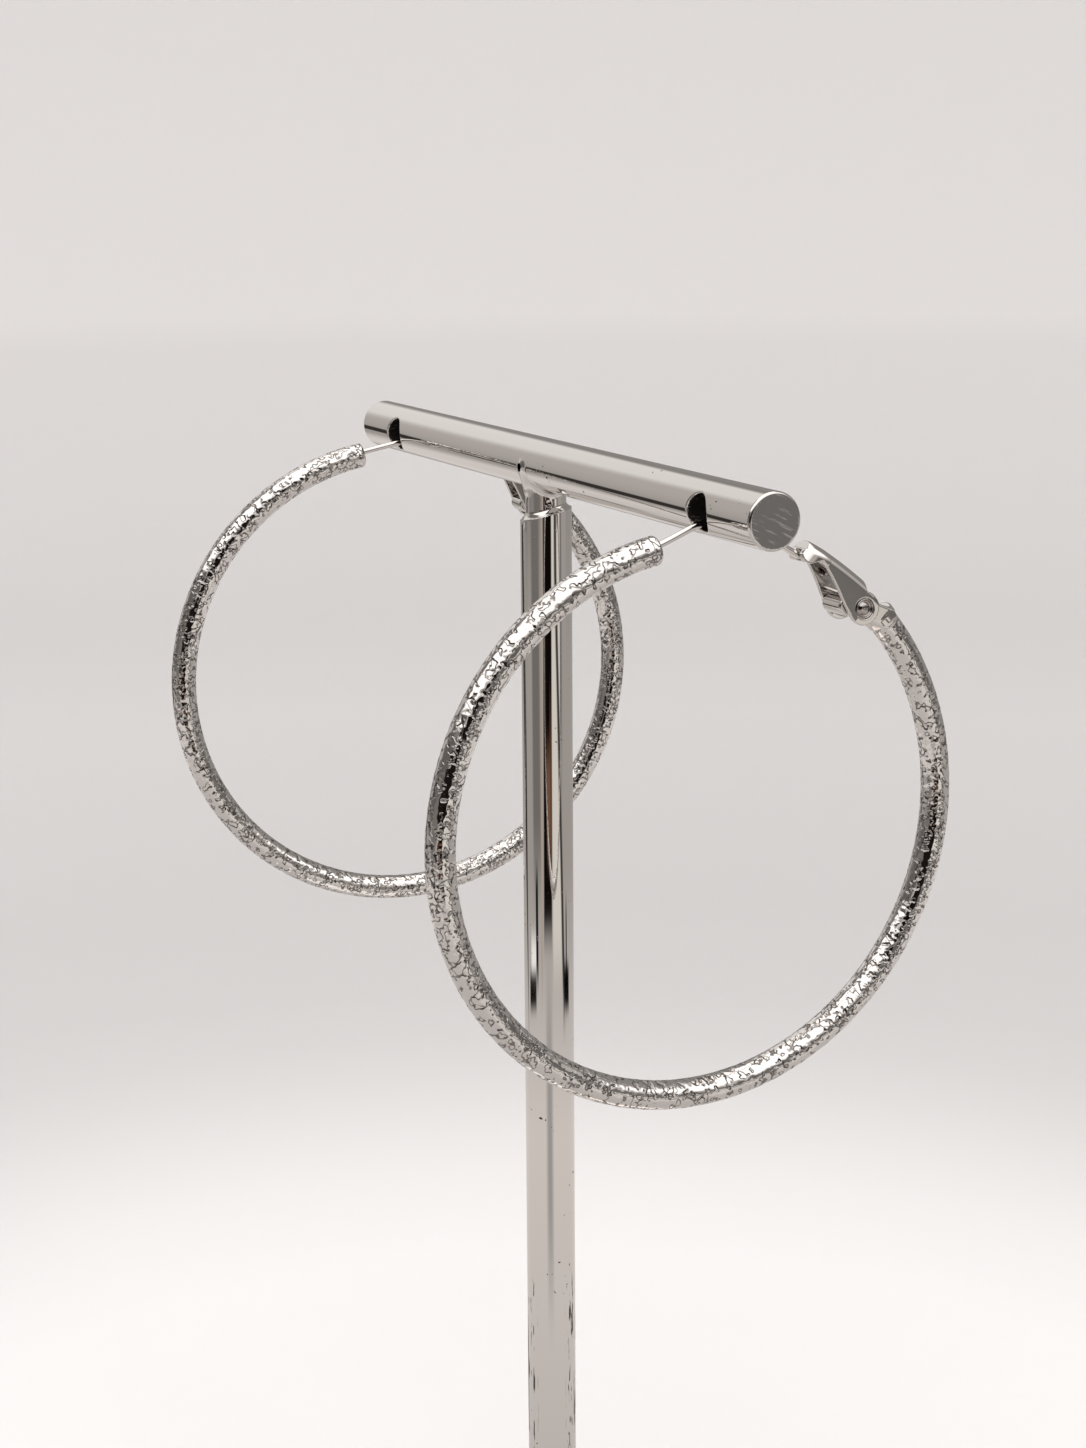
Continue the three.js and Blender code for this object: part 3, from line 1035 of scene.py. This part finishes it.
@dataclass
class Earring:
    """One earring as it hangs in its hole of the bar."""

    name: str
    clasp: Body
    side: int
    slide: float
    reach: float
    gap: float
    turn: float
    lean: float
    stand: Stand = field(default_factory=Stand)
    lever: Lever = field(default_factory=Lever)
    hoop_radius: float = 28.5
    tube_radius: float = 1.5
    pin_end: float = 99.8
    clasp_end: float = 42.2
    pin_radius: float = 0.35
    pin_offset: float = 0.35
    pin_arch: float = 0.35
    setback: float = 2.1
    collar_radius: float = 1.675
    collar_length: float = 1.0
    pivot_reach: float = 3.35
    pivot_inset: float = 1.5
    lever_tilt: float = 4.0
    pin_entry: float = 0.8
    pin_dip: float = 0.35
    lug_width: float = 3.3
    lug_radius: float = 1.1
    bore_radius: float = 0.68
    end_round: float = 0.35
    seam: float = 0.8
    cam_place: tuple[float, float] = (1.35, -0.95)
    cam_radius: float = 0.95

    def plane(self) -> Matrix:
        """Where the hoop's plane is: x across the bar, y up, z along the bar."""
        seat = Matrix.Translation((self.side * self.stand.hole_spread / 2 + self.slide, 0, self.stand.bar_height))
        turned = Matrix.Rotation(math.radians(self.turn), 4, "Z") @ Matrix.Rotation(math.radians(-self.lean), 4, "Y")
        hang = Matrix.Translation((0, -self.setback, -self.hoop_radius - self.reach))
        upright = Matrix(((0, 0, 1, 0), (1, 0, 0, 0), (0, 1, 0, 0), (0, 0, 0, 1)))
        return seat @ turned @ hang @ upright

    def collar_middle(self) -> np.ndarray:
        """The middle of the collar."""
        return self.hoop_radius * heading(self.clasp_end)

    def pivot(self) -> np.ndarray:
        """The rivet's axis."""
        ahead = self.pivot_reach * heading(self.clasp_end + 90)
        return self.collar_middle() + ahead - self.pivot_inset * heading(self.clasp_end)

    def on_lever(self) -> Matrix:
        """From the lever's own axes to the hoop's plane."""
        x, y = self.pivot()
        angle = math.radians(self.clasp_end + 90 + self.lever_tilt)
        return Matrix.Translation((x, y, 0)) @ Matrix.Rotation(angle, 4, "Z") @ Matrix.Rotation(math.pi, 4, "X")

    def make_tube(self) -> bpy.types.Object:
        """Makes the stippled hoop tube, with rounded ends and a seam near the pin."""
        sweep = 360 + self.clasp_end - self.pin_end
        length = math.radians(sweep) * self.hoop_radius
        fine = np.concatenate([
            self.end_round * (1 - np.cos(np.linspace(0, math.pi / 2, 9))), np.linspace(0.42, 1.1, 12),
        ])
        places = np.concatenate([fine, np.linspace(1.2, length - 1.2, 1180), length - fine[::-1]])
        ends = np.clip((self.end_round - np.minimum(places, length - places)) / self.end_round, 0, 0.9995)
        girth = np.sqrt(1 - ends * ends) * 0.25 + 0.75
        girth[0] = girth[-1] = 0.02
        girth -= 0.04 * np.exp(-(((places - self.seam) / 0.07) ** 2))
        plain = 1 - np.clip(np.minimum(places, length - places) / 1.5, 0, 1)
        angles = self.pin_end + places / length * sweep
        path = np.array([self.hoop_radius * heading(a) for a in angles])
        seed = 3.0 + 10 * (self.side > 0)
        metal = SweptMetal(self.tube_radius, 66, dent_depth=0.06, dent_size=0.75, seed=seed)
        made = metal.make(f"{self.name}_tube", path, girth, plain * 0.7, STIPPLED, self.plane())
        return fit(made, Body.STAND, Slot.HOOP, f"{self.name}_hoop")

    def pin_route(self) -> np.ndarray:
        """The pin's bends, from its root in the tube to its end in the lever."""
        wall = self.stand.hole_radius - self.pin_radius - self.gap
        drop = math.sqrt(wall * wall - self.slide * self.slide)
        seat = self.hoop_radius + self.reach - self.stand.hole_drop - drop
        mouth = math.sqrt(self.stand.rod_radius ** 2 - self.stand.hole_radius ** 2)
        shoulder = (self.hoop_radius + self.pin_offset) * heading(self.pin_end)
        root = shoulder + self.tube_radius * heading(self.pin_end + 90)
        tip = self.on_lever() @ Vector((self.lever.length - self.pin_entry, -self.pin_dip, 0))
        return np.array([
            root, shoulder, (self.setback - mouth, seat), (self.setback, seat + self.pin_arch),
            (self.setback + mouth, seat), (tip.x, tip.y),
        ])

    @staticmethod
    def smoothed(route: np.ndarray, steps: int) -> np.ndarray:
        """A centripetal curve through all points of a route.

        Args:
            route: the points.
            steps: steps on each stretch.

        Returns:
            The curve's points.
        """
        ends = np.vstack([2 * route[0] - route[1], route, 2 * route[-1] - route[-2]])
        curve = []
        for p0, p1, p2, p3 in zip(ends, ends[1:], ends[2:], ends[3:]):
            d0, d1, d2 = (np.linalg.norm(b - a) ** 0.5 for a, b in ((p0, p1), (p1, p2), (p2, p3)))
            t1 = ((p1 - p0) / d0 - (p2 - p0) / (d0 + d1) + (p2 - p1) / d1) * d1
            t2 = ((p2 - p1) / d1 - (p3 - p1) / (d1 + d2) + (p3 - p2) / d2) * d1
            for t in np.arange(steps) / steps:
                c2 = -3 * p1 + 3 * p2 - 2 * t1 - t2
                c3 = 2 * p1 - 2 * p2 + t1 + t2
                curve.append(p1 + t1 * t + c2 * t * t + c3 * t ** 3)
        curve.append(route[-1])
        return np.array(curve)

    def make_pin(self) -> bpy.types.Object:
        """Makes the ear pin with its rounded end."""
        path = self.smoothed(self.pin_route(), 36)
        gone = np.concatenate([[0], np.cumsum(np.linalg.norm(np.diff(path, axis=0), axis=1))])
        keep = gone < gone[-1] - self.pin_radius
        last = gone[keep][-1]
        nose = gone[-1] - (gone[-1] - last) * (1 - np.sin(np.linspace(0.1, 1, 8) * math.pi / 2))
        places = np.concatenate([gone[keep], nose])
        path = np.stack([np.interp(places, gone, path[:, i]) for i in (0, 1)], 1)
        share = np.clip((places - last) / (gone[-1] - last), 0, 0.9998)
        girth = np.sqrt(1 - share * share)
        metal = SweptMetal(self.pin_radius, 28)
        made = metal.make(f"{self.name}_pin", path, girth, np.ones(len(path)), POLISHED, self.plane())
        return fit(made, Body.STAND, Slot.CLASP, f"{self.name}_hoop")

    def knuckle(self, points: np.ndarray) -> np.ndarray:
        """Distance field of the collar and the hinge lug."""
        middle = self.collar_middle()
        outward = heading(self.clasp_end)
        ahead = heading(self.clasp_end + 90)
        flat = points[:, :2] - middle
        along = flat @ ahead
        across = flat @ outward
        round_ = np.hypot(across, points[:, 2]) - self.collar_radius
        collar = both(round_, abs(along) - self.collar_length / 2, 0.3)
        route = self.pivot() - middle
        share = np.clip(flat @ route / (route @ route), 0, 1)
        limb = np.linalg.norm(flat - share[:, None] * route, axis=1) - self.lug_radius
        cam = np.array(self.on_lever() @ Vector((*self.cam_place, 0)))[:2]
        limb = join(limb, np.linalg.norm(points[:, :2] - cam, axis=1) - self.cam_radius, 0.3)
        lug = both(limb, abs(points[:, 2]) - self.lug_width / 2, 0.25)
        body = join(collar, lug, 0.25)
        bore = self.bore_radius - np.linalg.norm(points[:, :2] - self.pivot(), axis=1)
        return both(body, bore, 0.1)

    def make_knuckle(self) -> bpy.types.Object:
        """Makes the collar with its hinge lug."""
        cam = np.array(self.on_lever() @ Vector((*self.cam_place, 0)))[:2]
        ends = np.array([self.collar_middle(), self.pivot(), cam])
        low = ends.min(0) - self.collar_radius - 0.3
        high = ends.max(0) + self.collar_radius + 0.3
        wide = self.collar_radius + 0.15
        axes = [graded((a, b, 0.075)) for a, b in ((low[0], high[0]), (low[1], high[1]), (-wide, wide))]
        made = carved(f"{self.name}_knuckle", self.knuckle, axes, SATIN, self.plane())
        return fit(made, Body.STAND, Slot.CLASP, f"{self.name}_hoop")

    def make_rivet(self) -> bpy.types.Object:
        """Makes the rivet with its dished heads, in a darkened tint that paints the shade in the dishes."""
        face = self.lever.width / 2
        head = [
            (0.2, 0.0), (0.4, -0.04), (0.56, -0.13), (0.66, -0.23), (0.74, -0.26), (0.81, -0.22), (0.86, -0.1),
            (0.9, 0.0), (0.94, 0.03), (0.98, 0.0), (1.0, -0.1),
        ]
        top = [(r, face + h) for r, h in head] + [(1.0, face - 0.45), (0.95, face - 0.5), (0.65, face - 0.5), (0.6, face - 0.55)]
        profile = [(0, -face - 0.01), *((r, -z) for r, z in top), *reversed(top), (0, face + 0.01)]
        points, faces = lathe(profile, 48)
        x, y = self.pivot()
        place = self.plane() @ Matrix.Translation((x, y, 0))
        # the rivet's darker tint is painted shade
        made = solid(f"{self.name}_rivet_head", points, faces, MIRROR, place)
        return fit(made, Body.STAND, Slot.CLASP, f"{self.name}_rivet")

    def make_lever(self) -> bpy.types.Object:
        """Makes the clasp's lever."""
        made = self.lever.make(f"{self.name}_clasp_lever", self.plane() @ self.on_lever())
        return fit(made, self.clasp, Slot.CLASP, f"{self.name}_lever")

    def make(self) -> None:
        """Makes the whole earring."""
        self.make_tube()
        self.make_pin()
        self.make_knuckle()
        self.make_rivet()
        self.make_lever()


# Studio


@dataclass(frozen=True)
class Zone:
    """A soft-edged patch of the room that the metal mirrors."""

    azimuth: tuple[float, float]
    elevation: tuple[float, float]
    colour: Colour
    soft: tuple[float, float] = (3.0, 1.5)
    lean: float = 0.0


@dataclass
class Studio:
    """The camera, the paper sweep, the light and the room that the metal mirrors."""

    yaw: float = 63.8813
    pitch: float = 13.5025
    roll: float = 0.4239
    position: tuple[float, float, float] = (239.286, -118.322, 184.383)
    focal: float = 2400.0
    picture: tuple[int, int] = (1086, 1448)
    zones: tuple[Zone, ...] = (
        Zone((-172, -137), (14, 60), (0.88, 0.85, 0.82), (6, 8)),
        Zone((-166, -150), (-29.5, -27.5), (0.12, 0.11, 0.1), (3, 0.5)),
        Zone((-115, -95), (-8, 56), (0.2, 0.186, 0.177), (4, 6)),
        Zone((-131, -110), (26, 56), (0.2, 0.186, 0.177), (4, 4)),
        Zone((-100, -25), (-8, 24), (0.14, 0.127, 0.118), (7, 4)),
        Zone((-72, -34), (-17, 8), (0.2, 0.185, 0.17), (6, 1.5)),
        Zone((98, 188), (-8, 56), (0.28, 0.265, 0.25), (4, 6)),
        Zone((19, 100), (-6.5, 10), (0.14, 0.13, 0.123), (5, 1.5)),
        Zone((12, 84), (20.5, 60), (1.25, 1.21, 1.18), (5, 2)),
        Zone((-92, 88), (28, 120), (1.45, 1.41, 1.38), (6, 3)),
        Zone((46, 70), (-14, 10), (0.18, 0.17, 0.16), (5, 2)),
        Zone((20, 62), (-19.3, -7), (0.8, 0.76, 0.7), (3, 1)),
        Zone((51, 63), (-20.4, -7), (0.05, 0.042, 0.038), (4, 0.8), -3.4),
        Zone((-29, -21), (-19.5, -7), (0.5, 0.42, 0.36), (2.5, 1.5), 1.7),
        Zone((-19, 18), (-18.6, 20), (0.006, 0.004, 0.003), (2.5, 0.6), 0.8),
        Zone((-38, 22), (-6.5, 11), (0.012, 0.009, 0.008), (5, 1.5)),
        Zone((10, 15), (-17, -13), (0.11, 0.06, 0.043), (2, 1)),
        Zone((-14, -7), (-14, -7), (0.08, 0.055, 0.045), (3, 1.5)),
        Zone((-5, 12), (-16.6, -14.2), (0.2, 0.105, 0.06), (4, 0.7)),
        Zone((-14, 12), (-26.5, -19.8), (0.42, 0.4, 0.385), (9, 2)),
        Zone((-90, -58), (-19.5, -18.6), (1.1, 1.07, 1.04), (5, 0.4)),
        Zone((-62, -50), (-19.6, -17), (0.012, 0.01, 0.009), (2, 0.5)),
        Zone((-100, -62), (-20.3, -19.4), (0.004, 0.004, 0.004), (4, 0.25)),
        Zone((85, 92), (-20.2, -17.8), (0.02, 0.018, 0.016), (2, 0.5)),
        Zone((74, 104), (-20.3, -19.2), (0.004, 0.004, 0.004), (4, 0.25)),
    )

    def axes(self) -> tuple[Vector, Vector, Vector]:
        """The camera's right, down and forward directions."""
        yaw, pitch, roll = (math.radians(a) for a in (self.yaw, self.pitch, self.roll))
        ahead = Vector((-math.sin(yaw) * math.cos(pitch), math.cos(yaw) * math.cos(pitch), -math.sin(pitch)))
        level = Vector((math.cos(yaw), math.sin(yaw), 0))
        down = ahead.cross(level)
        right = math.cos(roll) * level + math.sin(roll) * down
        return right, math.cos(roll) * down - math.sin(roll) * level, ahead

    def make_camera(self) -> None:
        """Puts the camera where the photograph was taken from."""
        right, down, ahead = self.axes()
        data = bpy.data.cameras.new("camera")
        data.sensor_width = 36.0
        data.sensor_fit = "AUTO"
        data.lens = data.sensor_width * self.focal / max(self.picture)
        data.clip_start = 0.01
        data.clip_end = 10
        camera = bpy.data.objects.new("camera", data)
        turned = Matrix((right, -down, -ahead)).transposed().to_4x4()
        camera.matrix_world = Matrix.Translation(Vector(self.position) * MM) @ turned
        bpy.context.scene.collection.objects.link(camera)
        bpy.context.scene.camera = camera

    def make_sweep(self) -> None:
        """Makes the pale paper sweep that the stand stands on."""
        profile = [(0, 0), *((r, 0) for r in np.linspace(40, 700, 12))]
        profile += [(700 + 500 * math.sin(a), 500 - 500 * math.cos(a)) for a in np.linspace(0.08, math.pi / 2, 20)]
        profile += [(1200, 1400)]
        angles = np.linspace(0, 2 * np.pi, 96, endpoint=False)
        points = [(0, 0, 0)] + [(r * math.cos(a), r * math.sin(a), z) for r, z in profile[1:] for a in angles]
        faces = [(0, 1 + i, 1 + (i + 1) % 96) for i in range(96)]
        for ring in range(len(profile) - 2):
            a = 1 + ring * 96
            faces += [(a + i, a + 96 + i, a + 96 + (i + 1) % 96, a + (i + 1) % 96) for i in range(96)]
        sweep = solid("paper_sweep", np.array(points), faces, Paper("pale_paper"))
        sweep.visible_glossy = False

    def make_light(self) -> None:
        """Hangs one large soft light overhead and one beside the camera."""
        lamps = (
            ("overhead", (0.1, -0.2, 1.0), 0.9, 9.0),
            ("side", (0.75, 0.35, 0.55), 0.5, 2.5),
        )
        for name, place, size, power in lamps:
            data = bpy.data.lights.new(name, "AREA")
            data.shape = "DISK"
            data.size = size
            data.energy = power
            lamp = bpy.data.objects.new(name, data)
            lamp.location = place
            lamp.rotation_euler = (Vector((0, 0, 0.1)) - Vector(place)).to_track_quat("-Z", "Y").to_euler()
            lamp.visible_glossy = False
            bpy.context.scene.collection.objects.link(lamp)

    def make_room(self) -> None:
        """Makes the room that the metal mirrors, and the even light that the paper gets."""
        world = bpy.data.worlds.new("room")
        world.use_nodes = True
        world.node_tree.nodes.clear()
        tree = Tree(world.node_tree)
        way = tree.out("ShaderNodeTexCoord", key="Generated")
        yaw = math.radians(self.yaw)
        ahead = tree.vector("DOT_PRODUCT", way, (math.sin(yaw), -math.cos(yaw), 0), key="Value")
        aside = tree.vector("DOT_PRODUCT", way, (math.cos(yaw), math.sin(yaw), 0), key="Value")
        up = tree.out("ShaderNodeSeparateXYZ", None, {"Vector": way}, "Z")
        azimuth = tree.math("ARCTAN2", aside, ahead) * math.degrees(1)
        elevation = tree.math("ARCSINE", up) * math.degrees(1)
        share = (elevation + 90) / 180
        stops = [
            (-90, 0.54), (-60, 0.56), (-40, 0.58), (-32, 0.62), (-27, 0.72), (-23, 0.78), (-20, 0.6), (-17, 0.42), (-8, 0.42),
            (0, 0.48), (10, 0.52), (30, 0.55), (50, 0.6), (63, 1.6), (90, 1.9),
        ]
        ramp = [((e + 90) / 180, (v, v * 0.93, v * 0.885)) for e, v in stops]
        room = tree.out("ShaderNodeValToRGB", {"stops": ramp}, {"Fac": share})
        band = tree.math("MINIMUM", tree.math("MAXIMUM", (elevation + 20) * 0.1, 0.0), 1.0)
        for zone in self.zones:
            bent = azimuth - (band * 10 - 5) * zone.lean if zone.lean else azimuth
            mask = self._window(tree, bent, zone.azimuth, zone.soft[0])
            mask = mask * elevation.within(*zone.elevation, zone.soft[1])
            room = tree.mix(mask, room, zone.colour)
        beam = tree.vector("DOT_PRODUCT", way, (0, -0.423, 0.906), key="Value")
        line = (1 - abs(beam).step(0.045, 0.085)) * azimuth.within(-142, -112, 4)
        room = tree.mix(line * 0.95, room, (0.02, 0.016, 0.013))
        mirrored = tree.out("ShaderNodeLightPath", key="Is Glossy Ray")
        colour = tree.mix(mirrored, (0.55, 0.545, 0.54), room)
        shader = tree.out("ShaderNodeBackground", None, {"Color": colour, "Strength": 1.0})
        tree.node("ShaderNodeOutputWorld", None, {"Surface": shader})
        world.cycles.sampling_method = "NONE"
        bpy.context.scene.world = world

    @staticmethod
    def _window(tree: Tree, azimuth: Value, limits: tuple[float, float], soft: float) -> Value:
        """1 between two azimuths, also across the back, where azimuth jumps."""
        low, high = limits
        if high > 180:
            return azimuth.step(low - soft, low + soft) + (1 - azimuth.step(high - 360 - soft, high - 360 + soft))
        return azimuth.within(low, high, soft)

    def make(self) -> None:
        """Makes the whole studio."""
        self.make_sweep()
        self.make_light()
        self.make_room()
        bpy.context.scene.view_settings.view_transform = "Standard"


def main() -> None:
    """Builds the studio, the stand and both earrings."""
    logging.basicConfig(level=logging.INFO, format="%(message)s")
    studio = Studio()
    studio.make_camera()
    studio.make()
    stand = Stand()
    stand.make_foot()
    stand.make_tee()
    earrings = (
        Earring("near", Body.NEAR_CLASP, 1, slide=-0.5, reach=3.2, gap=0.12, turn=0, lean=0.8, stand=stand),
        Earring("far", Body.FAR_CLASP, -1, slide=0.4, reach=2.2, gap=0.35, turn=-6.5, lean=-0.1, stand=stand),
    )
    for earring in earrings:
        earring.make()


if __name__ == "__main__":
    main()
